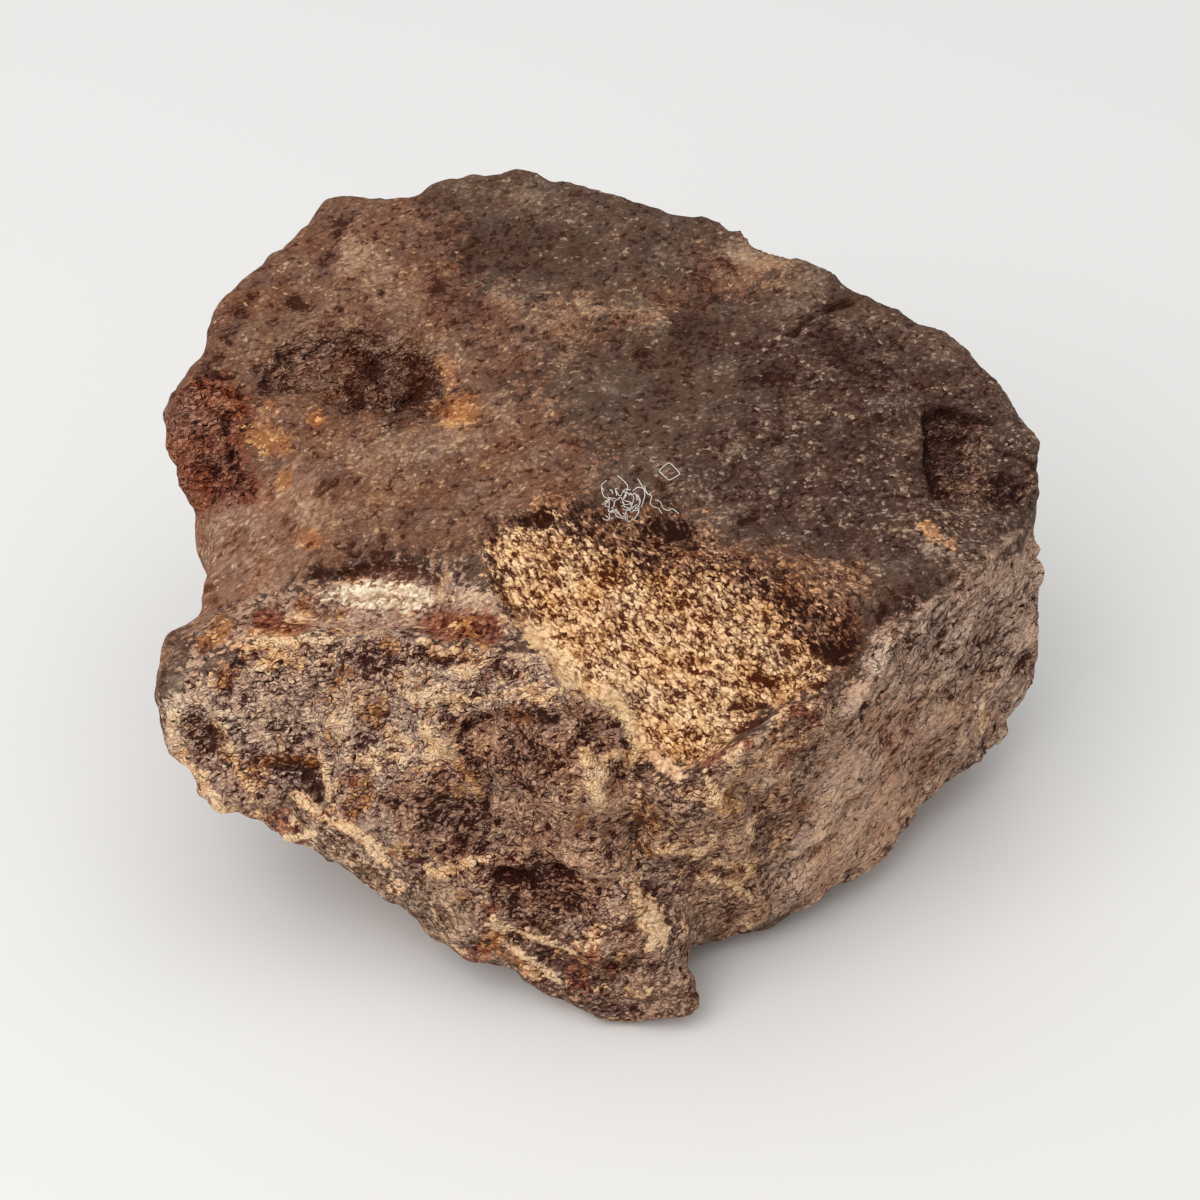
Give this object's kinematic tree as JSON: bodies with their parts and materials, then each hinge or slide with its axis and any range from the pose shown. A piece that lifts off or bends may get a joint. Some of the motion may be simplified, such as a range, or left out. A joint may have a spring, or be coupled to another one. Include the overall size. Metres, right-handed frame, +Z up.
{
  "type": "meteorite fragment",
  "caption": "Weathered stony meteorite fragment with a broad dark top, a knobby front lobe, a tan broken scar and small flat resting spots underneath.",
  "frame": {"origin": "below the middle of the stone, at the height of the surface that it rests on", "axes": "+Z up as it rests, +X along its longest extent to the right, -Y towards the front with the lobe and the scar"},
  "size_m": [0.0502, 0.0442, 0.0277],
  "materials": {
    "weathered_stone": "rough dark brown weathering crust with a fresher tan broken scar"
  },
  "bodies": {
    "root": {"meteorite_stone": "weathered_stone"}
  },
  "joints": []
}
